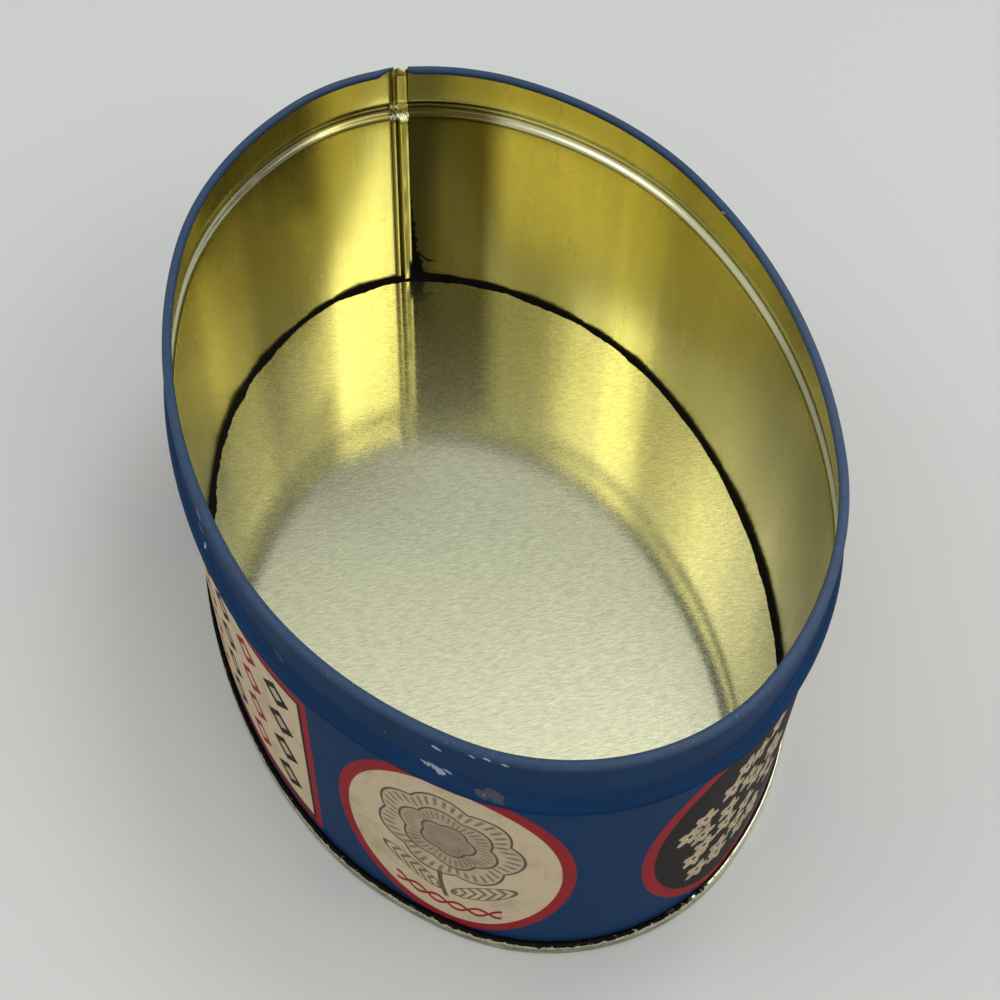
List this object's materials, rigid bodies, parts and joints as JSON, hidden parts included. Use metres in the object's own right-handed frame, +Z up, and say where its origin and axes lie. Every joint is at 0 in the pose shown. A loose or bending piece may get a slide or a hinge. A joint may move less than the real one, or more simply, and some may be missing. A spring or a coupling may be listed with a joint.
{
  "type": "oval tin",
  "caption": "Open oval tinplate box with a rolled rim, a lid neck above a raised bead, a locked upright seam and a double-seamed bottom.",
  "frame": {"origin": "middle of the oval, on the plane that the bottom seam stands on", "axes": "+X along the long axis, away from the upright seam; +Y along the short axis; +Z up through the open mouth"},
  "size_m": [0.1624, 0.1094, 0.0585],
  "materials": {
    "printed_tinplate": "glossy blue print outside, gold lacquer inside",
    "bare_tinplate": "bright rolled tin",
    "sealing_compound": "matt black"
  },
  "bodies": {
    "root": {"body_wall": "printed_tinplate", "bottom_end": "bare_tinplate", "seam_compound": "sealing_compound"}
  },
  "joints": []
}
